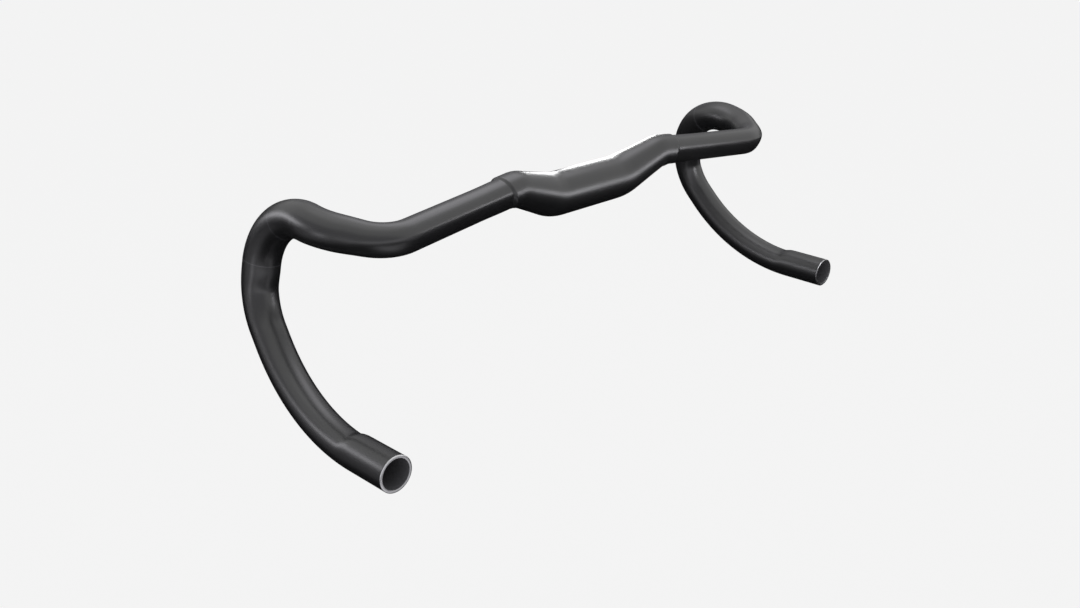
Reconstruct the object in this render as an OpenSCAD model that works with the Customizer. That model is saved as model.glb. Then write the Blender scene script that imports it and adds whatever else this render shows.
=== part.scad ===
// A drop handlebar whose tops stand a little higher than the place where the stem
// holds it. It is one hollow tube: a round middle, two short tapered risers, slim tops
// with a pressed face towards the rider, fuller front bends, curved drops that are pressed
// flatter on the inside, and round open ends.
// Millimetres. The origin is the middle of the clamping zone, +X is the rider's right,
// +Y is forward and +Z is up. The left side is the right side mirrored.
// The middle line is a row of straight runs joined by round bends, as in a bend table.

/* [Middle and risers] */
// Diameter of the round middle that a stem holds
clamp_d = 31.8; // [29:0.1:34]
// Length of the true round middle
clamp_w = 54; // [44:1:56]
// Distance from the middle to the foot corner of a riser
riser_foot = 36; // [34:0.5:40]
// Distance from the middle to the head corner of a riser
riser_head = 75.5; // [72:0.5:79]
// How much higher the riser heads stand than the clamping zone
rise = 13.4; // [8:0.2:18]
// How far the riser heads lie behind the clamping zone
riser_back = 5.4; // [2:0.2:9]
// Diameter at the head of a riser
riser_d = 24.6; // [23:0.1:26]

/* [Tops] */
// Distance from the middle to the step between riser and tops
step_x = 87; // [85:0.5:95]
// Length of the sloping face of that step
step_w = 2.2; // [1.2:0.1:3]
// How much further out the step lies on top than at mid height
step_lean = 2.4; // [0:0.2:4]
// Diameter of the tops
tops_d = 21.3; // [20:0.1:22.5]
// Depth of the pressed face on the back of the tops
tops_flat = 1.2; // [0.4:0.1:2.2]
// Radius of that face across the tube
tops_arch = 22; // [18:1:60]
// Distance from the middle to the outer corner of the tops
tops_x = 191.3; // [186:0.5:196]
// How far the outer corner of the tops lies behind the clamping zone
sweep = 17.5; // [12:0.5:22]
// How much the tops fall from the riser head to the outer corner
tops_fall = 8.4; // [4:0.2:12]

/* [Front bends] */
// Distance from the middle to the front bends
front_x = 217.4; // [214:0.5:221]
// How far the front bends reach forward
reach = 76; // [72:0.5:82]
// Height of the front bends above the clamping zone
front_z = 18.7; // [15:0.5:22]
// Largest diameter, in the front bends
front_d = 25.3; // [24.4:0.1:26.5]

/* [Drops] */
// Distance from the middle to the lower corner of each drop
end_x = 237.3; // [230:0.5:244]
// Angle by which the open ends point inwards
toe_in = 1.2; // [0:0.2:2]
// How far the drops hang below the clamping zone
drop = 111.5; // [104:0.5:120]
// How far the open ends lie behind the clamping zone
end_y = 71; // [66:0.5:80]
// How far forward the lower corner of the drops lies
hook_y = 20.5; // [16:0.5:25]
// Diameter of the round end where a grip or an end plug goes
grip_d = 23.8; // [22.2:0.1:24.2]
// Length of the true round end
grip_len = 30; // [24:1:34]
// Depth of the pressed inside of the drops
drop_flat = 1.9; // [0.4:0.1:2.4]
// Radius of that pressed side across the tube
drop_arch = 14; // [13:0.5:30]

/* [Bends and wall] */
// Bend radius at the foot of a riser
foot_bend = 42; // [34:1:50]
// Bend radius at the head of a riser
head_bend = 17; // [15:0.5:22]
// Bend radius at the outer corner of the tops
corner_bend = 27.4; // [24:0.5:31]
// Bend radius between the ramp and the front bend
ramp_bend = 44; // [36:1:50]
// Bend radius at the very front
front_bend = 40.5; // [34:0.5:44]
// Bend radius in the upper half of a drop
drop_bend = 49.4; // [42:0.5:54]
// Bend radius in the lower half of a drop
hook_bend = 123; // [105:1:130]
// Thickness of the tube wall
wall = 2; // [1.6:0.1:2.6]

/* [Hidden] */
$fn = 96;

clamp_r = clamp_d / 2;
riser_r = riser_d / 2;
tops_r = tops_d / 2;
front_r = front_d / 2;
grip_r = grip_d / 2;
lower_r = (front_r + grip_r) / 2;
overlap = 1.5;              // how far a formed half runs inside the round zones
skin_gap = 0.04;            // the formed half stays this far inside the true round skin
sides = 36;                 // facets round the outside
bore_sides = sides / 2;     // facets round the bore

// Small vector helpers
function unit(v) = v / norm(v);
function flatten_on(v, t) = unit(v - (v * t) * t);
function mix(a, b, k) = a + (b - a) * k;
function clip(v, lo, hi) = max(lo, min(hi, v));
function ramp_up(l, a, b) = clip((l - a) / (b - a), 0, 1);

// Corners of the middle line, from the clamping zone to the open end
flare = end_x - front_x;
V = [
  [0, 0, 0],
  [riser_foot, 0, 0],
  [riser_head, -riser_back, rise],
  [tops_x, -sweep, rise - tops_fall],
  [tops_x + 0.945 * (front_x - tops_x), reach * 0.222, front_z * 0.63],
  [front_x, reach - 2.2, front_z],
  [front_x + 0.59 * flare, reach, -0.431 * drop],
  [end_x, hook_y, -drop],
  [end_x - (hook_y + end_y) * tan(toe_in), -end_y, -drop]
];
BEND = [0, foot_bend, head_bend, corner_bend, ramp_bend, front_bend, drop_bend, hook_bend, 0];
last = len(V) - 1;

// Direction and length of each run, angle of each corner, and the length that a
// bend takes from the runs beside it, shortened where two bends would overlap
DIR = [for (i = [0:last - 1]) unit(V[i + 1] - V[i])];
LEN = [for (i = [0:last - 1]) norm(V[i + 1] - V[i])];
function turn(i) = acos(clip(DIR[i - 1] * DIR[i], -1, 1));
WISH = [for (i = [0:last]) (i == 0 || i == last) ? 0 : BEND[i] * tan(turn(i) / 2)];
SHARE = [for (i = [0:last - 1]) min(1, 0.995 * LEN[i] / (WISH[i] + WISH[i + 1]))];
TAKE = [for (i = [0:last]) (i == 0 || i == last) ? 0 : WISH[i] * min(SHARE[i - 1], SHARE[i])];

// A place on the middle line is a number: its whole part names the corner just passed,
// 0 to 0.5 runs along the straight after it, and 0.5 to 1 goes round the next bend
function place(l) =
  let (k = min(floor(l), last - 1), f = l - k)
  f <= 0.5
    ? let (a = V[k] + DIR[k] * TAKE[k], b = V[k + 1] - DIR[k] * TAKE[k + 1])
      [mix(a, b, f * 2), DIR[k]]
    : let (i = k + 1, phi = turn(i), s = (f - 0.5) * 2 * phi,
           r = TAKE[i] / tan(phi / 2),
           n = flatten_on(DIR[i], DIR[k]))
      [V[i] - DIR[k] * TAKE[i] + r * (sin(s) * DIR[k] + (1 - cos(s)) * n),
       cos(s) * DIR[k] + sin(s) * n];

// Places of the step and of the ends of the formed half
run_2 = LEN[2] - TAKE[2] - TAKE[3];
function on_tops(x) = 2 + 0.5 * ((x - V[2][0]) / DIR[2][0] - TAKE[2]) / run_2;
lip = on_tops(step_x);
root = on_tops(step_x + step_w);
first = 0.5 * (clamp_w / 2 - overlap) / (LEN[0] - TAKE[1]);
final = last - 1 + 0.5 * (1 - (grip_len - overlap) / (LEN[last - 1] - TAKE[last - 1]));

flat_end = 6.965;           // the pressed side of a drop ends here
round_again = 7.035;        // and the tube is round from here on

// Places where the outside and the bore are drawn
OUT = [first, 0.5, 0.667, 0.833, 1, 1.25, 1.5, 1.667, 1.833, 2, lip - 0.006, lip,
       root, root + 0.004, 2.14, 2.25, 2.5, for (s = [1:6]) 2.5 + s / 14, 3, 3.5,
       for (s = [1:3]) 3.5 + s / 8, 4.25, for (s = [1:9]) 4.5 + s / 20, 5.25, 5.5,
       for (s = [1:5]) 5.5 + s / 12, 6.25, for (s = [1:7]) 6.5 + s / 16, flat_end, 7,
       round_again, final];
BORE = [first, 0.5, 0.75, 1, 1.5, 1.75, 2, root, 2.5,
        for (s = [1:3]) 2.5 + s / 8, 3, 3.5, 3.75, 4.25, for (s = [1:5]) 4.5 + s / 12,
        5.25, 5.67, 5.83, 6.25, 6.62, 6.74, 6.86, flat_end, 7.02, final];

// Radius of the outside before the flats, by place
RADIUS = [
  [0, clamp_r - skin_gap], [0.8, clamp_r - skin_gap], [1.25, mix(clamp_r, riser_r, 0.56)],
  [1.7, riser_r], [lip - 0.006, riser_r], [lip, riser_r - 0.15],
  [root, tops_r + 0.45], [root + 0.004, tops_r + 0.4], [2.2, tops_r], [2.5, tops_r],
  [3, mix(tops_r, front_r, 0.13)], [3.4, mix(tops_r, front_r, 0.53)],
  [3.8, mix(tops_r, front_r, 0.74)], [4.2, front_r], [4.6, lower_r], [5.3, lower_r],
  [6, grip_r], [last, grip_r - skin_gap]
];

// A pressed face moves in from outside the tube to its full depth and out again
tops_in = [0, -cos(23), -sin(23)];
hook_centre = [mix(front_x, end_x, 0.3), 0, -20];
function tops_weight(l) = ramp_up(l, lip, root + 0.01) * (1 - ramp_up(l, 2.62, 3.5));
function drop_weight(l) = ramp_up(l, 5.5, 5.68) * (1 - ramp_up(l, flat_end, round_again));

// The smaller of two distances, with the edge between them rounded where they differ
// by less than k
function soft_min(a, b, k) =
  let (h = max(0, k - abs(a - b)) / k) min(a, b) - h * h * k / 4;

// Distance from the middle line to the skin in direction u: the round section, met by
// a shallower arc of radius rho that faces f and lies depth inside the round at its middle
function press(r, u, f, t, depth, rho, w, k) =
  w <= 0 ? r
  : let (c = u * flatten_on(f, t), e = rho - r + depth - (1 - w) * (depth + 0.6),
         arc = sqrt(rho * rho - e * e * (1 - c * c)) - e * c)
    soft_min(r, arc, k);
function skin(l, r, q, u) =
  press(press(flush(l, r, u), u, tops_in, q[1], tops_flat, tops_arch, tops_weight(l), 0.12),
        u, hook_centre - q[0], q[1], drop_flat, drop_arch, drop_weight(l), 0.5);

// The underside of a riser runs down flush with the tops before the step
function flush(l, r, u) =
  l > root ? r
  : mix(r, min(r, tops_r + 0.3), ramp_up(l, 2, lip - 0.006) * pow(clip(-u[2], 0, 1), 2));

// The step leans: on top it lies further out along the tube than at mid height
function lean(l) =
  step_lean * ramp_up(l, 2, lip - 0.006) * (1 - ramp_up(l, root + 0.004, 2.14));

// Axes across the tube are carried along the list of places without twisting
function carry(L, i, a) =
  let (q = place(L[i]), b = flatten_on(a, q[1]))
  concat([b], i < len(L) - 1 ? carry(L, i + 1, b) : []);
function rings(L, inset, n) =
  let (A = carry(L, 0, [0, 1, 0]))
  [for (i = [0:len(L) - 1])
     let (q = place(L[i]), a = A[i], b = cross(q[1], a), r = lookup(L[i], RADIUS))
     for (j = [0:n - 1])
       let (u = cos(j * 360 / n) * a + sin(j * 360 / n) * b)
       q[0] + u * (skin(L[i], r, q, u) - inset) + DIR[2] * lean(L[i]) * u[2]];

// Two triangles for each cell of a tube surface; side is 1 outside and -1 in the bore
function walls(count, n, base, side) =
  [for (i = [0:count - 2], j = [0:n - 1])
     let (k = (j + 1) % n, p = base + i * n, q = p + n)
     each side > 0
       ? [[p + j, q + j, q + k], [p + j, q + k, p + k]]
       : [[p + j, q + k, q + j], [p + j, p + k, q + k]]];
// The flat ring between the outside and the bore at one end
function rim(o, c, n, side) =
  [for (j = [0:n / 2 - 1])
     let (k = (j + 1) % (n / 2), a = o + 2 * j, m = a + 1, b = o + 2 * k)
     each side > 0
       ? [[a, m, c + j], [m, b, c + k], [m, c + k, c + j]]
       : [[a, c + j, m], [m, c + k, b], [m, c + j, c + k]]];

// One side of the bar from the clamping zone to the round end, formed and hollow
module formed_half() {
  n_out = len(OUT);
  n_bore = len(BORE);
  base = n_out * sides;
  points = concat(rings(OUT, 0, sides), rings(BORE, wall - 2 * skin_gap, bore_sides));
  faces = concat(
    walls(n_out, sides, 0, 1),
    walls(n_bore, bore_sides, base, -1),
    rim(0, base, sides, 1),
    rim((n_out - 1) * sides, base + (n_bore - 1) * bore_sides, sides, -1));
  polyhedron(points = points, faces = faces, convexity = 8);
}

// A true round tube along +Z, for the zones that other parts are fixed to
module round_tube(r, length) {
  difference() {
    cylinder(r = r, h = length);
    translate([0, 0, -1]) cylinder(r = r - wall, h = length + 2);
  }
}

// The whole bar
module handlebar() {
  color([0.10, 0.10, 0.11])
  union() {
    translate([-clamp_w / 2, 0, 0]) rotate([0, 90, 0]) round_tube(clamp_r, clamp_w);
    for (side = [0, 1]) mirror([side, 0, 0]) {
      formed_half();
      translate(V[last]) rotate([-90, 0, -toe_in]) round_tube(grip_r, grip_len);
    }
  }
}

handlebar();
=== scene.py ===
# %% [markdown]
# # A drop handlebar with raised tops
#
# The real thing is one aluminium tube. It is bent, pressed and tapered, cut square at
# both ends and anodised satin black. There is nothing on it but its own form, so the
# form, the finish and the light on it have to carry the picture.
#
# This lesson builds that tube as one surface worked out with numpy. First it loads the
# measured model, then it sets the camera, makes the surface, the finishes and the
# studio, and ends with the view transform.

import math

import bpy
import numpy as np
from mathutils import Matrix, Vector


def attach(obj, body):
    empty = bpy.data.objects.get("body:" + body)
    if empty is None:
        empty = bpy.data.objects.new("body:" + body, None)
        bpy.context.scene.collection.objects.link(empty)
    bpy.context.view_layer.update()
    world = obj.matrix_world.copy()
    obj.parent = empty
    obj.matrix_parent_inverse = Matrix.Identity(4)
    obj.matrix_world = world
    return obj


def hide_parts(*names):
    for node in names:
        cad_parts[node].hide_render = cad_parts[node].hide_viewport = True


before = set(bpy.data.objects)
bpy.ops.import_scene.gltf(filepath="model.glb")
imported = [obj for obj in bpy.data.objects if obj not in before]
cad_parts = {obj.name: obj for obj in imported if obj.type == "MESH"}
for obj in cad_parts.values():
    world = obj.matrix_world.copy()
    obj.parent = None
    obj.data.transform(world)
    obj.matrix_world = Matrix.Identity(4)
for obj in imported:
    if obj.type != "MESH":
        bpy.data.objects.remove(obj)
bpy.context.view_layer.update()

# %% [markdown]
# ## Camera
#
# The camera comes first, because everything else is judged through it. Its place was
# worked out from the outlines of both halves of the bar, which are one shape seen
# twice. It stands behind the bar, on the rider's left and a little above, as near as
# a short step, with a lens of about 34 mm. That nearness is what makes the near drop
# look so much larger than the far one.

# %% Camera
CAMERA_TURN = -45.27      # degrees round the vertical, 0 looks along +Y
CAMERA_HEIGHT = 22.06     # degrees above the horizon
CAMERA_AWAY = 0.7501      # metres back from the origin, along the view
CAMERA_SLIDE = (-0.0326, -0.0868)  # metres to the right and up, across the view
LENS, SENSOR = 34.22, 36.0  # millimetres


def add_camera(turn, height, away, slide):
    """A camera that looks along the given turn and height: it stands at the origin,
    moved back along its own view by `away` and across it by `slide`."""
    data = bpy.data.cameras.new("camera")
    data.lens, data.sensor_width, data.sensor_fit = LENS, SENSOR, "HORIZONTAL"
    data.clip_start, data.clip_end = 0.01, 200.0
    data.dof.use_dof = False
    camera = bpy.data.objects.new("camera", data)
    bpy.context.scene.collection.objects.link(camera)
    aim = (Matrix.Rotation(math.radians(turn), 4, "Z")
           @ Matrix.Rotation(math.radians(90 - height), 4, "X"))
    camera.matrix_world = Matrix.Translation(aim @ Vector((*slide, away))) @ aim
    return camera


camera = add_camera(CAMERA_TURN, CAMERA_HEIGHT, CAMERA_AWAY, CAMERA_SLIDE)
bpy.context.scene.camera = camera
print("camera at", [round(v, 3) for v in camera.matrix_world.translation])

# %% [markdown]
# ## The middle line of the tube
#
# A bender works from a table: straight runs, and a radius for each corner between
# them. The same table gives the middle line here. A spline through a few points would
# be quicker, but it never holds a true straight or a true radius, and on a glossy tube
# the eye finds every such waver.
#
# A place on the line is one number. Its whole part names the corner just passed, 0 to
# 0.5 runs along the straight after it, and 0.5 to 1 goes round the next bend. A bend
# of radius r that turns the line by an angle t takes r tan(t / 2) off the straight on
# each side. Where two bends ask for more than lies between them, both get less.

# %% The bend table, in millimetres
CORNERS = np.array([
    [0.0, 0.0, 0.0],           # middle of the clamping zone
    [36.0, 0.0, 0.0],          # foot of the riser
    [75.5, -5.4, 13.4],        # head of the riser
    [191.3, -17.5, 5.0],       # outer corner of the tops
    [215.96, 16.87, 11.78],    # ramp
    [217.4, 73.8, 18.7],       # front bend
    [229.14, 76.0, -48.06],    # upper corner of the drop
    [237.3, 20.5, -111.5],     # lower corner of the drop
    [235.38, -71.0, -111.5],   # open end, toed in a little
])
BENDS = np.array([0, 42, 17, 27.4, 44, 40.5, 49.4, 123, 0.0])  # radius at each corner
LAST = len(CORNERS) - 1
MOST = 0.995               # the share of a straight that its two bends may take
TINY = 1e-9                # keeps a division by zero out of the straight parts


def unit(v):
    """Each vector divided by its length."""
    return v / np.linalg.norm(v, axis=-1, keepdims=True)


RUNS = unit(np.diff(CORNERS, axis=0))
LENGTHS = np.linalg.norm(np.diff(CORNERS, axis=0), axis=1)
TURNS = np.zeros(LAST + 1)
TURNS[1:-1] = np.arccos(np.clip((RUNS[:-1] * RUNS[1:]).sum(1), -1, 1))
WISHES = BENDS * np.tan(TURNS / 2)
SHARES = np.minimum(1, MOST * LENGTHS / (WISHES[:-1] + WISHES[1:]))
TAKES = WISHES * np.minimum(np.r_[1, SHARES], np.r_[SHARES, 1])
print("bends in degrees:", np.degrees(TURNS[1:-1]).round(1))


def middle_line(place):
    """Point and direction at each place. On a straight: start plus direction times the
    part travelled. On a bend of radius r after angle s: start of the bend plus
    r sin(s) along the old direction plus r (1 - cos(s)) towards the bend's centre."""
    k = np.minimum(place.astype(int), LAST - 1)
    f = (place - k)[:, None]
    nxt = np.minimum(k + 1, LAST)
    out = RUNS[np.minimum(nxt, LAST - 1)]
    start = CORNERS[k] + RUNS[k] * TAKES[k, None]
    stop = CORNERS[nxt] - RUNS[k] * TAKES[nxt, None]
    s = np.clip(f - 0.5, 0, 1) * 2 * TURNS[nxt, None]
    radius = TAKES[nxt, None] / np.maximum(np.tan(TURNS[nxt, None] / 2), TINY)
    lean = out - (out * RUNS[k]).sum(1, keepdims=True) * RUNS[k]
    lean = lean / np.maximum(np.linalg.norm(lean, axis=1, keepdims=True), TINY)
    straight = start + (stop - start) * np.minimum(f * 2, 1)
    point = straight + radius * (np.sin(s) * RUNS[k] + (1 - np.cos(s)) * lean)
    return point, unit(np.cos(s) * RUNS[k] + np.sin(s) * lean)


FINE_STEPS = 30000
FINE_PLACES = np.linspace(0, LAST - 0.5, FINE_STEPS + 1)
FINE_POINTS, _ = middle_line(FINE_PLACES)
FINE_LENGTHS = np.r_[0, np.linalg.norm(np.diff(FINE_POINTS, axis=0), axis=1).cumsum()]
HALF = FINE_LENGTHS[-1]
print(f"the tube is {2 * HALF:.0f} mm long along its middle")


def place_at(length):
    """Place on the middle line at a length in millimetres from the middle."""
    return np.interp(length, FINE_LENGTHS, FINE_PLACES)


def length_at(place):
    """Length in millimetres from the middle to a place on the middle line."""
    return np.interp(place, FINE_PLACES, FINE_LENGTHS)


# %% [markdown]
# ## The radius along the tube
#
# The tube is 31.8 mm thick where the stem holds it, tapers up the riser to 24.6 mm,
# steps down to slim tops of 21.3 mm, swells to 25.3 mm in the front bends and ends at
# 23.8 mm. It could be a few scaled pieces joined end to end, but their joints would
# show in the gloss. So the radius is drawn as straight lines between named places and
# then blurred a little along the tube, as metal doesn't change its slope at once. The
# step at the foot of the tops is kept out of that blur: it is crisp on the real bar.

# %% Radius along the tube, in millimetres
CLAMP_R, RISER_R, TOPS_R, FRONT_R, GRIP_R = 15.9, 12.3, 10.65, 12.65, 11.9
LOWER_R = (FRONT_R + GRIP_R) / 2           # the drop, between front bend and round end
WALL = 2.0
CLAMP_HALF = 27.0                          # half of the true round zone
STEP_X, STEP_W, STEP_SOFT = 87.0, 2.2, 0.3  # distance from the middle, length, softness
SWELL, SWELL_LENGTH = 0.4, 30.0            # the tops are a little fuller after the step
TOPS_START = length_at(2.0)                # the straight after the riser's head
STEP_AT = TOPS_START + (STEP_X - middle_line(np.array([2.0]))[0][0, 0]) / RUNS[2, 0]
BLUR = 4.0
MARGIN, BLUR_STEPS = 60, 4000              # how far and how finely the blur is worked out


def blurred(pairs, reach):
    """A line through (place, radius) pairs on an even grid of lengths, averaged with a
    bell of width `reach` millimetres. Returns grid and values."""
    places, radii = np.array(pairs).T
    grid = np.linspace(-MARGIN, HALF + MARGIN, BLUR_STEPS + 1)
    line = np.interp(grid, length_at(places), radii)
    bell_x = np.arange(-4 * reach, 4 * reach + 1e-9, grid[1] - grid[0])
    bell = np.exp(-0.5 * (bell_x / reach) ** 2)
    return grid, np.convolve(line, bell / bell.sum(), mode="same")


def mixed(a, b, k):
    """The value a part k of the way from a to b."""
    return a + (b - a) * k


RISER_LINE = blurred((
    (0, CLAMP_R), (0.82, CLAMP_R), (1.25, mixed(CLAMP_R, RISER_R, 0.56)),
    (1.7, RISER_R), (8, RISER_R)), BLUR)
OUTER_LINE = blurred((
    (0, TOPS_R), (2.5, TOPS_R), (3, mixed(TOPS_R, FRONT_R, 0.13)),
    (3.4, mixed(TOPS_R, FRONT_R, 0.53)), (3.8, mixed(TOPS_R, FRONT_R, 0.74)),
    (4.2, FRONT_R), (4.6, LOWER_R), (5.3, LOWER_R), (6, GRIP_R), (7.5, GRIP_R)), BLUR)


def smooth_step(x, a, b):
    """0 before a, 1 after b, and 3 s^2 - 2 s^3 between them."""
    s = np.clip((x - a) / (b - a), 0, 1)
    return s * s * (3 - 2 * s)


def radius_at(length):
    """Radius before the presses: riser (1 - s) + outer s, with s the step's share."""
    step = smooth_step(length, STEP_AT - STEP_SOFT, STEP_AT + STEP_W + STEP_SOFT)
    swell = SWELL * (1 - smooth_step(length, STEP_AT, STEP_AT + SWELL_LENGTH))
    riser = np.interp(length, *RISER_LINE)
    riser = np.where(length < CLAMP_HALF, CLAMP_R, riser)
    outer = np.interp(length, *OUTER_LINE) + swell
    return riser * (1 - step) + outer * step


print("radius at the middle, riser head, tops and end:",
      radius_at(np.array([0, STEP_AT - 4, STEP_AT + 40, HALF])).round(2))

# %% [markdown]
# ## The section across the tube
#
# A tube that is pressed in a die isn't round. The tops carry a pressed face that looks
# back and down, and the inside of each drop is pressed flatter to fill the palm. A
# knife cut would leave the face quite flat with a sharp edge, which no pressed tube
# has. Here both presses are one formula: the circle of the tube met by a shallower
# arc, with the edge between them rounded. The arc moves in from outside the tube and
# out again along it, so each press starts and ends softly.
#
# Two smaller forms belong to the step. The riser's underside runs down flush with the
# tops before it, so the step shows on top and at the sides only. And the step leans:
# on top it lies further out than at mid height.

# %% Section of the tube
TOPS_PRESS = 1.2, 22.0, 0.8                # depth, radius of the arc and edge, mm
DROP_PRESS = 2.1, 14.0, 2.2
TOPS_DOWN = math.radians(23)               # the face of the tops looks down by this
TOPS_FACES = np.array([0, -math.cos(TOPS_DOWN), -math.sin(TOPS_DOWN)])
TOPS_FADE, TOPS_ROUND = 2.62, 3.5          # places where that face fades out
PRESS_SOFT = 0.5                           # it is full this far after the step, mm
DROP_CENTRE = np.array([223.4, 0.0, -20.0])  # the press of the drop faces this point
PRESS_START, PRESS_FULL = 310.0, 331.0     # lengths where it comes in, mm
FLAT_END, ROUND_AGAIN = 6.955, 7.055       # places where it goes out again
FLUSH_R, FLUSH_LENGTH = TOPS_R + 0.3, 12   # underside before the step, and its fade
STEP_LEAN, LEAN_LENGTH = 2.4, 20           # how far the step leans, and its fade


def pressed(radius, toward, facing, press, weight):
    """Skin distance of a circle of `radius` met by a shallower arc that faces
    `facing`. With e = arch - radius + depth, which shrinks as weight falls to 0, and c
    the cosine to the facing, the arc lies at sqrt(arch^2 - e^2 (1 - c^2)) - e c. The
    smaller of the two counts, less h^2 edge / 4 where they differ by under `edge`,
    with h = 1 - difference / edge."""
    depth, arch, edge = press
    c = np.einsum("nmk,nk->nm", toward, facing)
    e = arch - radius + depth - (1 - weight[:, None]) * (depth + edge)
    arc = np.sqrt(arch ** 2 - e ** 2 * (1 - c ** 2)) - e * c
    h = np.maximum(0, edge - np.abs(radius - arc)) / edge
    met = np.minimum(radius, arc) - h * h * edge / 4
    return np.where(weight[:, None] > 0, met, radius)


def across(v, direction):
    """The part of each vector that lies across the tube, made one unit long."""
    return unit(v - (v * direction).sum(1, keepdims=True) * direction)


def near_step(length, fade):
    """Rises from 0 to 1 before the step and falls back over `fade` mm from it."""
    return (smooth_step(length, TOPS_START, STEP_AT)
            * (1 - smooth_step(length, STEP_AT + STEP_W, STEP_AT + fade)))


def skin_at(length, toward, point, direction):
    """Distance from the middle line to the skin, for each length and direction: the
    radius, made flush underneath by the square of how far down it looks, and then
    pressed on the tops and on the drop."""
    place = place_at(length)
    radius = np.repeat(radius_at(length)[:, None], toward.shape[1], axis=1)
    under = np.clip(-toward[..., 2], 0, 1) ** 2
    flush = near_step(length, FLUSH_LENGTH)
    radius = mixed(radius, np.minimum(radius, FLUSH_R), flush[:, None] * under)
    on_tops = (smooth_step(length, STEP_AT - STEP_SOFT, STEP_AT + STEP_W + PRESS_SOFT)
               * (1 - smooth_step(place, TOPS_FADE, TOPS_ROUND)))
    on_drop = (smooth_step(length, PRESS_START, PRESS_FULL)
               * (1 - smooth_step(length, length_at(FLAT_END), length_at(ROUND_AGAIN))))
    tops = across(np.broadcast_to(TOPS_FACES, point.shape), direction)
    drop = across(DROP_CENTRE - point, direction)
    radius = pressed(radius, toward, tops, TOPS_PRESS, on_tops)
    return pressed(radius, toward, drop, DROP_PRESS, on_drop)


print(f"the step starts {STEP_AT:.1f} mm along the tube, the press of the drop runs from "
      f"{PRESS_START:.0f} to {length_at(ROUND_AGAIN):.0f} mm")

# %% [markdown]
# ## Rings round the tube
#
# The surface is a grid: one parameter runs along the tube and one goes round it. Each
# ring needs two directions across the tube to start from. Straight up does for the
# tops and sideways for the drops, and along the ramp, which runs forward, one turns
# into the other.

# %% Rings of the surface
ROUND = 128                # points round each ring
RAMP = 3.0, 4.2            # between these places the start of a ring turns sideways
UP, SIDEWAYS = np.array([0, 0, 1.0]), np.array([1.0, 0, 0])


def rings(length, inset):
    """Rings of the right half at the given lengths. A point of a ring is the middle
    line's point plus (skin distance - inset) times cos(v) a + sin(v) b, with a and b
    across the tube and v going once round. Near the step its top is moved outwards
    along the tops, and its underside inwards, by the lean."""
    place = place_at(length)
    point, direction = middle_line(place)
    over = smooth_step(place, *RAMP)[:, None]
    a = across(UP * (1 - over) + SIDEWAYS * over, direction)
    b = np.cross(direction, a)
    v = np.arange(ROUND) * 2 * np.pi / ROUND
    toward = (np.cos(v)[None, :, None] * a[:, None]
              + np.sin(v)[None, :, None] * b[:, None])
    skin = skin_at(length, toward, point, direction) - inset
    lean = STEP_LEAN * near_step(length, LEAN_LENGTH)
    return (point[:, None] + skin[..., None] * toward
            + RUNS[2] * (lean[:, None] * toward[..., 2])[..., None])


# %% Where the rings lie
OUTER_COUNT, INNER_COUNT = 312, 44  # rings from the middle to the end, outside and bore
AT_STEP, AT_PRESS = 9, 1.0          # how much closer they lie at the step and the press
STEP_ZONE, PRESS_ZONE = 2.2, 12.0   # and within about how far, mm
PRESS_STOPS = 5.6, 7.0              # places where the press of the drop starts and stops
BEFORE_END, BEFORE_MOUTH = 0.9, 0.8  # the last ring lies this close to the end, mm
DENSITY_STEPS = 20000


def bell_at(x, middle, width):
    """A bell, exp(-((x - middle) / width)^2)."""
    return np.exp(-(((x - middle) / width) ** 2))


def spread(count, at_step, at_press):
    """Lengths from 0 to the end, `count` of them, packed closer at the step and where
    the press of the drop starts and stops. They are even steps of a running sum of
    density."""
    x = np.linspace(0, HALF, DENSITY_STEPS + 1)
    density = 1 + at_step * bell_at(x - STEP_AT, 1, STEP_ZONE)
    for stop in PRESS_STOPS:
        density = density + at_press * bell_at(x, length_at(stop), PRESS_ZONE)
    total = density.cumsum()
    steps = np.linspace(total[0], total[-1], count)
    return np.interp(steps, total, x)


# The ring close to each end keeps the smooth shading of the tube and that of the cut
# from running into each other.
OUTER = np.r_[spread(OUTER_COUNT, AT_STEP, AT_PRESS)[:-1], HALF - BEFORE_END, HALF]
INNER = np.r_[HALF, HALF - BEFORE_MOUTH, spread(INNER_COUNT, 0, 0)[:-1][::-1]]
print(f"rings outside {2 * len(OUTER) - 1}, widest spacing {np.diff(OUTER).max():.2f} mm")

# %% [markdown]
# ## One closed grid
#
# The rings of the outside run from the left end to the right end. There they turn in
# over the cut edge, run back through the bore and turn out again. That makes one grid
# that closes on itself both ways, so the mesh has no seam, no pole and no hole. A
# thick wall could also come from a modifier, but then the cut edge could not have its
# own shape: a deburring tool has worn it round, more outside than at the bore.

# %% Build the closed grid
ROUNDED, EDGED = 0.4, 0.1  # how far the cut is worn back, outside and at the bore, mm
WORN = 2.5                 # the higher this power, the flatter the middle of the cut
ACROSS_CUT = np.array([0.08, 0.25, 0.5, 0.75, 0.92])  # rings over it, 0 is outside
MOUTH = 0.1                # how much wider the bore is at its mouth, mm
INSIDE = 0.03              # the skin lies this far inside the measured size, mm
METRES = 0.001             # metres in a millimetre


def rim_rings(outer_end, inner_end, axis):
    """Rings over the cut end, from the outside to the bore. Each is a mix of the two
    end rings by a share s, moved back along the axis by worn |2 s - 1|^2.5, where
    worn is how far the nearer edge is worn back."""
    share = ACROSS_CUT[:, None, None]
    back = np.where(share < 0.5, ROUNDED, EDGED) * np.abs(2 * share - 1) ** WORN
    return outer_end * (1 - share) + inner_end * share - axis * back


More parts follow.
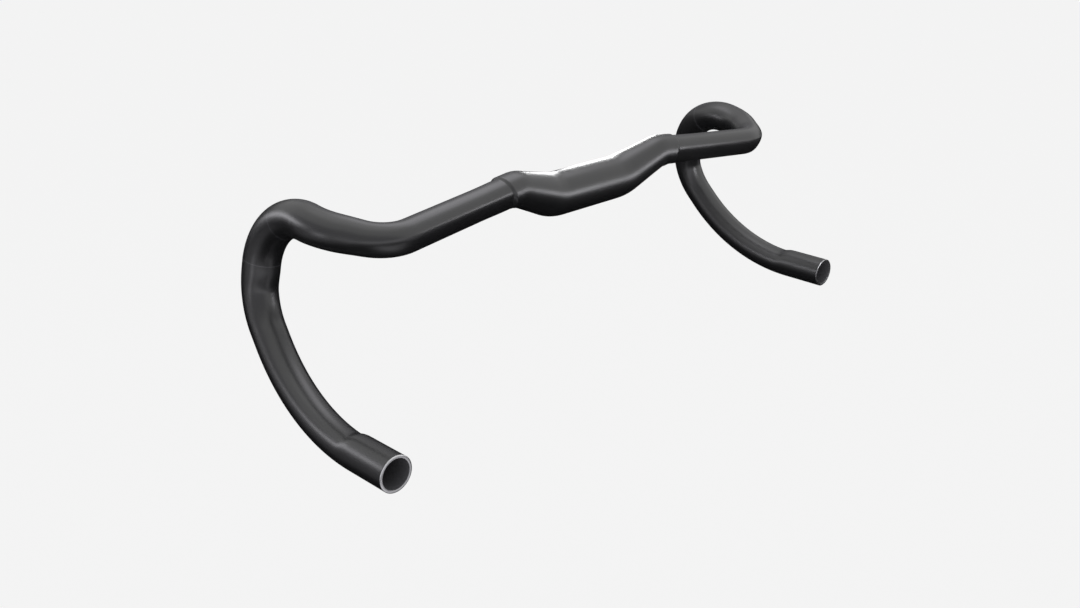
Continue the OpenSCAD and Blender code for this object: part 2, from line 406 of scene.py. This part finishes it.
END_AXIS = RUNS[-1]
right_out, right_in = rings(OUTER, INSIDE), rings(INNER, WALL)
end_in = rings(np.array([HALF]), WALL - MOUTH)[0]
right_rim = rim_rings(right_out[-1], end_in, END_AXIS)
right_out[-1] -= END_AXIS * ROUNDED
right_in[0] = end_in - END_AXIS * EDGED
MIRROR = np.array([-1.0, 1.0, 1.0])
grid = np.concatenate([
    right_out[:0:-1] * MIRROR, right_out, right_rim,
    right_in, right_in[-2::-1] * MIRROR, right_rim[::-1] * MIRROR]) * METRES
n_out, n_rim, n_in = 2 * len(OUTER) - 1, len(right_rim), 2 * len(INNER) - 1
SKIN, CUT, BORE = 0, 1, 2  # finish of the strip between a ring and the next one
band = np.repeat([SKIN, CUT, BORE, CUT], [n_out - 1, n_rim + 1, n_in - 1, n_rim + 1])
print("grid", grid.shape, "strips", len(band))


def mesh_from_grid(name, grid, band):
    """A mesh of quads from a grid that closes both ways. Each quad joins two points of
    a ring to the same two of the next ring. Faces are turned to point outwards, which
    is when the volume under them is positive."""
    n, m = grid.shape[:2]
    i, j = np.meshgrid(np.arange(n), np.arange(m), indexing="ij")
    ni, nj = (i + 1) % n, (j + 1) % m
    quads = np.stack([i * m + j, ni * m + j, ni * m + nj, i * m + nj], -1).reshape(-1, 4)
    p = grid.reshape(-1, 3)
    a, b, c, d = (p[quads[:, k]] for k in range(4))
    volume = (np.cross(a, b) * c + np.cross(a, c) * d).sum() / 6
    if volume < 0:
        quads = quads[:, ::-1]
    mesh = bpy.data.meshes.new(name)
    mesh.vertices.add(len(p))
    mesh.vertices.foreach_set("co", p.ravel())
    mesh.loops.add(quads.size)
    mesh.loops.foreach_set("vertex_index", quads.ravel())
    mesh.polygons.add(len(quads))
    mesh.polygons.foreach_set("loop_start", np.arange(0, quads.size, 4))
    mesh.polygons.foreach_set("material_index", np.repeat(band, m))
    mesh.update(calc_edges=True)
    mesh.validate()
    print(f"{name}: {len(quads) * 2} triangles, {abs(volume) * 1e6:.1f} cubic centimetres")
    return mesh


bar_mesh = mesh_from_grid("bar_tube", grid, band)

# %% [markdown]
# ### Lengths stored on the surface
#
# Draw lines in the bore and die lines round the tube follow the tube, not the room. A
# pattern on plain coordinates would cut across them at every bend. So each point keeps
# how far along the tube it lies, in metres, and the sine and cosine of how far round,
# as attributes of the mesh. Sine and cosine close without a seam, where an angle jumps.

# %% Attributes that follow the tube
along = np.concatenate([-OUTER[:0:-1], OUTER, np.repeat(HALF, n_rim),
                        INNER, -INNER[-2::-1], np.repeat(-HALF, n_rim)]) * METRES
turn = 2 * np.pi * (np.arange(ROUND) / ROUND)


def store(mesh, name, values):
    """Puts one number on every point of the mesh under a name. The values go along the
    tube or round it, and are repeated over the whole grid."""
    layer = mesh.attributes.new(name, "FLOAT", "POINT")
    whole = np.broadcast_to(values, (len(along), ROUND))
    layer.data.foreach_set("value", whole.ravel().astype(np.float32))


store(bar_mesh, "along", along[:, None])
store(bar_mesh, "turn_sin", np.sin(turn))
store(bar_mesh, "turn_cos", np.cos(turn))
print("attributes:", [a.name for a in bar_mesh.attributes if not a.is_internal])

# %% Place the bar
bar_mesh.polygons.foreach_set("use_smooth", np.ones(len(bar_mesh.polygons), bool))
bar = bpy.data.objects.new("bar_tube", bar_mesh)
bpy.context.scene.collection.objects.link(bar)
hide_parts("handlebar")
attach(bar, "root")
print("bar_tube has", len(bar_mesh.vertices), "points and rides on root")

# %% [markdown]
# ## Finishes
#
# The bar shows three finishes: the dyed skin, the bare metal of the cut ends and the
# dyed bore. A picture file could carry each of them, but it blurs when the camera comes
# near. Noise in the shader carries the same detail and stays sharp at any distance. A
# value that is the same all over is set on the shader itself, and only what varies
# gets a node.

# %% Helpers for materials


def linear(code):
    """Linear colour from an sRGB hex value: c / 12.92 below 0.04045, else
    ((c + 0.055) / 1.055) to the power 2.4."""
    c = np.array([int(code[i:i + 2], 16) / 255 for i in (1, 3, 5)])
    return (*np.where(c <= 0.04045, c / 12.92, ((c + 0.055) / 1.055) ** 2.4), 1.0)


def add_node(tree, kind, links=(), **settings):
    """Adds one node. A setting names an input socket, or a property of the node, or
    with _ and a number the input at that number. `links` are pairs of an input, by name
    or number, and the output of another node."""
    node = tree.nodes.new(kind)
    for key, value in settings.items():
        socket = node.inputs.get(key.replace("_", " "))
        if hasattr(node, key) and socket is None:
            setattr(node, key, value)
        else:
            (socket or node.inputs[int(key.strip("_"))]).default_value = value
    for place, source in links:
        tree.links.new(node.inputs[place], source)
    return node


def new_material(name):
    """An empty material with its node tree, and the socket that its surface goes to."""
    material = bpy.data.materials.new(name)
    material.use_nodes = True
    tree = material.node_tree
    tree.nodes.clear()
    return material, tree, tree.nodes.new("ShaderNodeOutputMaterial").inputs["Surface"]


print("black of the skin, linear:", np.round(linear("#131315")[:3], 4))

# %% [markdown]
# ### The skin
#
# The skin is aluminium, blasted with fine beads and then anodised black. Black paint
# would look much the same from afar, but it rounds every edge and its gloss is wetter.
# The oxide is a clear hard layer with dye in its pores: it reflects like a dark ceramic
# with an index of about 1.75, so the shader isn't metallic. The blasting leaves a grain
# that spreads each highlight, and the etching bath leaves the gloss a little uneven.
# Two faint light lines go round each front bend, where the halves of the forming die
# ended. They are a change of colour only, so they follow the stored length.

# %% Black anodised aluminium, sizes in metres
GRAIN = 0.0004             # real dents are near 0.05 mm, drawn coarser so that they show
CLOUDS = 0.035             # patches of slightly different gloss
GLOSS = 0.31, 0.36         # roughness between those patches: satin, with soft streaks
DYE, DIE_MARK = linear("#131315"), linear("#3E3E42")
DIE_LINES = (length_at(4.68) * METRES, length_at(5.0) * METRES - 0.0045)
DIE_LINE_HALF = 0.0003     # half the width of such a line


def black_anodised():
    """Bead-blasted and black anodised aluminium. To the eye: near black where it
    mirrors nothing, soft wide highlights, a faint grain close by, and two hair lines."""
    material, tree, surface = new_material("black_anodised_aluminium")
    place = add_node(tree, "ShaderNodeTexCoord").outputs["Object"]
    grain = add_node(tree, "ShaderNodeTexNoise", [("Vector", place)],
                     Scale=1 / GRAIN, Detail=3.0, Roughness=0.6)
    cloud = add_node(tree, "ShaderNodeTexNoise", [("Vector", place)],
                     Scale=1 / CLOUDS, Detail=4.0, Roughness=0.55)
    gloss = add_node(tree, "ShaderNodeMapRange", [("Value", cloud.outputs["Fac"])],
                     From_Min=0.3, From_Max=0.7, To_Min=GLOSS[0], To_Max=GLOSS[1])
    bump = add_node(tree, "ShaderNodeBump", [("Height", grain.outputs["Fac"])],
                    Strength=0.03, Distance=0.00002)
    along = add_node(tree, "ShaderNodeAttribute", attribute_name="along")
    side = add_node(tree, "ShaderNodeMath", [(0, along.outputs["Fac"])],
                    operation="ABSOLUTE")
    marks = [add_node(tree, "ShaderNodeMath", [(0, side.outputs[0])],
                      operation="COMPARE", _1=where, _2=DIE_LINE_HALF)
             for where in DIE_LINES]
    either = add_node(tree, "ShaderNodeMath",
                      [(0, marks[0].outputs[0]), (1, marks[1].outputs[0])],
                      operation="MAXIMUM")
    dye = add_node(tree, "ShaderNodeMix", [("Factor", either.outputs[0])],
                   data_type="RGBA", _6=DYE, _7=DIE_MARK)
    skin = add_node(tree, "ShaderNodeBsdfPrincipled",
                    [("Base Color", dye.outputs[2]),
                     ("Roughness", gloss.outputs["Result"]),
                     ("Normal", bump.outputs["Normal"])],
                    Metallic=0.0, IOR=1.75)
    tree.links.new(surface, skin.outputs["BSDF"])
    return material


# %% [markdown]
# ### The cut ends
#
# Each end is cut after the bar is anodised, so the cut shows bare metal: a thin bright
# ring between the black skin and the black bore. Bare aluminium is a metal to the
# shader, which takes its whole colour from reflection. It isn't polished, so its gloss
# is wider than a mirror's and a fine grain of tool marks breaks it.

# %% Bare cut aluminium, sizes in metres
TOOL_MARKS = 0.0004        # real ones are finer, drawn at this width so that they show


def cut_aluminium():
    """Aluminium as the saw and a deburring tool leave it. To the eye: light grey that
    flares up on one side of the ring, with a fine grain."""
    material, tree, surface = new_material("cut_aluminium")
    place = add_node(tree, "ShaderNodeTexCoord").outputs["Object"]
    marks = add_node(tree, "ShaderNodeTexNoise", [("Vector", place)],
                     Scale=1 / TOOL_MARKS, Detail=2.0, Roughness=0.6)
    bump = add_node(tree, "ShaderNodeBump", [("Height", marks.outputs["Fac"])],
                    Strength=0.25, Distance=0.00005)
    skin = add_node(tree, "ShaderNodeBsdfPrincipled", [("Normal", bump.outputs["Normal"])],
                    Base_Color=linear("#D3D3D4"), Metallic=1.0, Roughness=0.32)
    tree.links.new(surface, skin.outputs["BSDF"])
    return material


# %% [markdown]
# ### The bore
#
# The inside of the tube is as the draw die left it, with long fine lines, and was
# anodised with the rest. No bead reaches far into a tube, so it is duller and greyer
# than the skin. Its noise reads the sine and cosine of how far round a point lies, each
# from -1 to 1, and its length along the tube in metres. The one scale then gives narrow
# marks round the tube and long ones along it, which is what draw lines are.

# %% Dyed bore
DRAW_LINES = 28.0          # 1 / 28 of the radius across, 0.35 mm, and 1 / 28 m along


def drawn_bore():
    """Drawn and anodised aluminium. To the eye: a dull dark grey with faint lines that
    run into the tube."""
    material, tree, surface = new_material("black_anodised_bore")
    turn_sin, turn_cos, along = (
        add_node(tree, "ShaderNodeAttribute", attribute_name=name).outputs["Fac"]
        for name in ("turn_sin", "turn_cos", "along"))
    where = add_node(tree, "ShaderNodeCombineXYZ",
                     [("X", turn_sin), ("Y", turn_cos), ("Z", along)])
    lines = add_node(tree, "ShaderNodeTexNoise", [("Vector", where.outputs["Vector"])],
                     Scale=DRAW_LINES, Detail=3.0, Roughness=0.6)
    bump = add_node(tree, "ShaderNodeBump", [("Height", lines.outputs["Fac"])],
                    Strength=0.3, Distance=0.0001)
    skin = add_node(tree, "ShaderNodeBsdfPrincipled", [("Normal", bump.outputs["Normal"])],
                    Base_Color=linear("#505053"), Metallic=0.0, IOR=1.7, Roughness=0.5)
    tree.links.new(surface, skin.outputs["BSDF"])
    return material


for finish in (black_anodised(), cut_aluminium(), drawn_bore()):  # SKIN, CUT, BORE
    bar.data.materials.append(finish)
print("finishes:", [m.name for m in bar.data.materials])

# %% [markdown]
# ## Studio
#
# The photograph has an even pale ground with no shadow in view, because the bar hangs
# well above it. A strong lamp on white paper would also give that ground, but its light
# would bounce up and turn the bar grey. So most of the paper's tone is its own flat
# colour, which the camera and mirror-like bounces see, and the rest is lit and keeps the
# bar's faint shadow. The world has the same tone, so no line shows where they meet.

# %% Floor and world
FLOOR_Z, FAR = -0.62, 40.0  # height and half size of the floor, metres
FLAT_SHARE = 0.85          # how much of the paper's tone is its own flat colour
WORLD_TONE = linear("#F3F3F3")


def seen_directly(tree):
    """1 for rays from the camera, from a mirror-like bounce or through glass."""
    path = add_node(tree, "ShaderNodeLightPath")
    both = add_node(
        tree, "ShaderNodeMath",
        [(0, path.outputs["Is Camera Ray"]), (1, path.outputs["Is Glossy Ray"])],
        operation="MAXIMUM")
    every = add_node(
        tree, "ShaderNodeMath",
        [(0, both.outputs[0]), (1, path.outputs["Is Transmission Ray"])],
        operation="MAXIMUM")
    return every.outputs[0]


def pale_paper():
    """Matt pale paper. Most of what the camera sees is its flat colour, and the rest
    is lit, so the shadow of the bar stays."""
    material, tree, surface = new_material("pale_paper")
    paper = add_node(tree, "ShaderNodeBsdfDiffuse", Color=linear("#EDEDED"))
    flat = add_node(tree, "ShaderNodeEmission", Color=linear("#F6F6F6"), Strength=1.0)
    share = add_node(tree, "ShaderNodeMath", [(0, seen_directly(tree))],
                     operation="MULTIPLY", _1=FLAT_SHARE)
    mix = add_node(tree, "ShaderNodeMixShader",
                   [(0, share.outputs[0]), (1, paper.outputs[0]), (2, flat.outputs[0])])
    tree.links.new(surface, mix.outputs[0])
    return material


def flat_card(name, x, y, z, material):
    """A flat level card, 2 x by 2 y metres at height z, as part of the studio."""
    mesh = bpy.data.meshes.new(name)
    mesh.from_pydata([(-x, -y, z), (x, -y, z), (x, y, z), (-x, y, z)], [], [(0, 1, 2, 3)])
    card = bpy.data.objects.new(name, mesh)
    bpy.context.scene.collection.objects.link(card)
    card.data.materials.append(material)
    return card


flat_card("floor", FAR, FAR, FLOOR_Z, pale_paper())
world = bpy.data.worlds.new("studio")
bpy.context.scene.world = world
world.use_nodes = True
air = world.node_tree.nodes["Background"]
air.inputs["Color"].default_value = WORLD_TONE
air.inputs["Strength"].default_value = 1.0
print("floor", -FLOOR_Z, "metres under the clamping zone")

# %% [markdown]
# ## Cards for the gloss
#
# A black glossy tube shows little of its own colour: what is seen on it is the room.
# Lamps alone would leave small hard spots, so a photographer hangs large cards and soft
# boxes round such a thing, and a black card under it. The cards here are seen by the
# gloss only, and only from the side that faces the bar. Each fades out towards its
# edges, as a soft box does, so no hard line crosses the tube.

# %% Cards that only the gloss sees
GLOW = linear("#FBFAFF")   # the light of the boxes, a trace cooler than the paper


def glow(name, strength, half, feather):
    """A card with an even tone, 1 being as bright as white paper. It fades to nothing
    over the outer part `feather` of each half size, and shows on its front only: what
    is seen is fade(x) times fade(y), less 1 behind. Without half sizes it is even."""
    material, tree, surface = new_material(name)
    shine = add_node(tree, "ShaderNodeEmission", Color=GLOW, Strength=strength)
    if half is None:
        tree.links.new(surface, shine.outputs[0])
        return material
    place = add_node(tree, "ShaderNodeTexCoord")
    parts = add_node(tree, "ShaderNodeSeparateXYZ", [("Vector", place.outputs["Object"])])
    fades = []
    for axis, size in zip("XY", half):
        off = add_node(tree, "ShaderNodeMath", [(0, parts.outputs[axis])],
                       operation="ABSOLUTE")
        fades.append(add_node(
            tree, "ShaderNodeMapRange", [("Value", off.outputs[0])],
            interpolation_type="SMOOTHSTEP", From_Min=size * (1 - feather), From_Max=size,
            To_Min=1.0, To_Max=0.0).outputs["Result"])
    both = add_node(tree, "ShaderNodeMath", [(0, fades[0]), (1, fades[1])],
                    operation="MULTIPLY")
    side = add_node(tree, "ShaderNodeNewGeometry")
    front = add_node(tree, "ShaderNodeMath",
                     [(0, both.outputs[0]), (1, side.outputs["Backfacing"])],
                     operation="SUBTRACT", use_clamp=True)
    clear = add_node(tree, "ShaderNodeBsdfTransparent")
    mix = add_node(tree, "ShaderNodeMixShader",
                   [(0, front.outputs[0]), (1, clear.outputs[0]), (2, shine.outputs[0])])
    tree.links.new(surface, mix.outputs[0])
    return material


def gloss_card(name, x, y, z, strength, half=None, feather=0.5):
    """A glowing card that shows in reflections and takes no part in anything else."""
    card = flat_card(name, x, y, z, glow(name, strength, half, feather))
    card.visible_camera = card.visible_diffuse = card.visible_shadow = False
    card.visible_transmission = card.visible_volume_scatter = False
    return card


def on_bearing(bearing, height, away):
    """The point at a bearing clockwise from +Y and a height above level, in degrees,
    `away` metres from the origin."""
    b, h = math.radians(bearing), math.radians(height)
    level = math.cos(h)
    return Vector((math.sin(b) * level, math.cos(b) * level, math.sin(h))) * away


def hung_card(name, place, aim, wide, tall, strength, feather):
    """A card at a place that faces the point `aim`. Wide and tall are the angles that it
    fills as seen from there, in degrees."""
    back = place - aim
    x, y = (back.length * math.tan(math.radians(v / 2)) for v in (wide, tall))
    card = gloss_card(name, x, y, 0, strength, (x, y), feather)
    turn = (-back).to_track_quat("Z", "Y").to_matrix().to_4x4()
    card.matrix_world = Matrix.Translation(place) @ turn


# %% [markdown]
# ### Where the cards hang
#
# A card's place follows from the highlight it has to make. For a point of the tube in
# the photograph, the direction in which a mirror there would look was worked out, and
# the tone seen at that point is the tone of the room in that direction. Each card below
# covers a group of such directions.

# %% Hang the cards
MIDDLE = Vector((0, 0, 0))
LEFT_TOPS = Vector((-0.14, -0.012, 0.008))
LEFT_BEND, RIGHT_BEND = Vector((-0.22, 0.065, 0.0)), Vector((0.22, 0.065, 0.0))
LEFT_DROP = Vector((-0.224, 0.075, -0.02))
LEFT_END, RIGHT_END = Vector((-0.236, -0.071, -0.1115)), Vector((0.236, -0.071, -0.1115))
CARDS = (  # name, place, aim, wide, tall, strength, feather
    # Behind the camera: the even dark grey of all that faces it.
    ("behind_card", on_bearing(-140, 7, 1.0), MIDDLE, 88, 76, 0.5, 0.4),
    # Behind on the right: the streak along the lower back of the middle piece, and the
    # slow fade under it.
    ("side_band", on_bearing(137, -2, 0.42), MIDDLE, 16, 17, 7.6, 0.5),
    ("side_skirt", on_bearing(145, -21, 1.0), MIDDLE, 100, 24, 0.5, 0.5),
    # Low behind the camera: lifts the lower half of the tops.
    ("behind_low", on_bearing(-150, -10, 0.9), MIDDLE, 110, 24, 1.1, 0.5),
    # On the left: the outside of the near drop, its faint grey and its long streak.
    ("left_low", on_bearing(-78, -20, 1.0), MIDDLE, 60, 30, 0.28, 0.5),
    ("left_grey", on_bearing(-75, 16, 1.5), MIDDLE, 80, 50, 0.45, 0.4),
    ("left_streak", LEFT_DROP + on_bearing(-93, -6, 0.6), LEFT_DROP, 22, 24, 2.2, 0.6),
    # In front on the left: the broad highlight over the near front bend.
    ("left_band", LEFT_BEND + on_bearing(-44, 14, 0.5), LEFT_BEND, 64, 18, 4.2, 0.6),
    # In front on the right: the grey of the far front bend.
    ("right_grey", Vector((0.66, 0.70, 0.37)), RIGHT_BEND, 76, 40, 0.4, 0.4),
    # A dark card close to the far end: keeps the pale floor out of its bore.
    ("far_end_card", RIGHT_END + on_bearing(148, -20, 0.15), RIGHT_END, 120, 84, 0.02, 0.3),
    # A dark wall in front: the thin dark line along the far edges of the tube.
    ("front_wall", on_bearing(20, 0, 4.5), MIDDLE, 156, 40, 0.05, 0.3),
    # Low behind the near drop: the soft patch high on its pressed side.
    ("patch_card", LEFT_DROP + on_bearing(-178, -42, 0.4), LEFT_DROP, 50, 24, 0.9, 0.6),
    # Above: the soft streak along the near tops.
    ("top_box", LEFT_TOPS + on_bearing(64, 51, 0.5), LEFT_TOPS, 54, 40, 2.2, 0.6),
    # Behind the near end: the light grey of its cut ring.
    ("ring_card", LEFT_END + Vector((0.50, -0.69, -0.515)) * 0.25, LEFT_END, 30, 30,
     0.55, 0.5),
)
UNDER_Z, UNDER, UNDER_TONE = -0.60, 6.0, 0.004

gloss_card("under_card", UNDER, UNDER, UNDER_Z, UNDER_TONE)
for card in CARDS:
    hung_card(*card)
print("cards:", ", ".join(card[0] for card in CARDS))

# %% [markdown]
# ## Soft boxes
#
# Two lamps light the bar itself. A large box overhead gives the plain level of light.
# A small one in front of the right half gives the white rim along the top of the
# middle piece. It has a grid, which a photographer clips on a box to keep its light in a
# narrow cone, so it doesn't reach the near drop. A sun lamp would be simpler, but its
# rim would be a hard thread of light.

# %% Soft boxes


def soft_box(name, place, aim, size, power, cone=180):
    """An area lamp at a place that faces the point `aim`. Its light leaves within a cone
    of that many degrees."""
    data = bpy.data.lights.new(name, "AREA")
    data.shape, data.size, data.size_y, data.energy = "RECTANGLE", *size, power
    data.spread = math.radians(cone)
    lamp = bpy.data.objects.new(name, data)
    bpy.context.scene.collection.objects.link(lamp)
    lamp.matrix_world = (Matrix.Translation(place)
                         @ (aim - place).to_track_quat("-Z", "Y").to_matrix().to_4x4())
    print(f"{name}: {power} W over {size[0]} x {size[1]} m")
    return lamp


soft_box("overhead_box", Vector((0.2, 0.3, 2.0)), MIDDLE, (1.6, 1.6), 3.5)
rim_box = soft_box("rim_box", Vector((0.165, 0.13, 0.045)), Vector((0.03, 0, 0)),
                   (0.08, 0.07), 0.017, 50)
rim_box.visible_camera = rim_box.visible_diffuse = False

# %% [markdown]
# ## Colour
#
# The view transform is Standard, so a colour renders as it is written. A filmic one
# would grey the paper and soften the black.

# %% Finish
bpy.context.scene.view_settings.view_transform = "Standard"
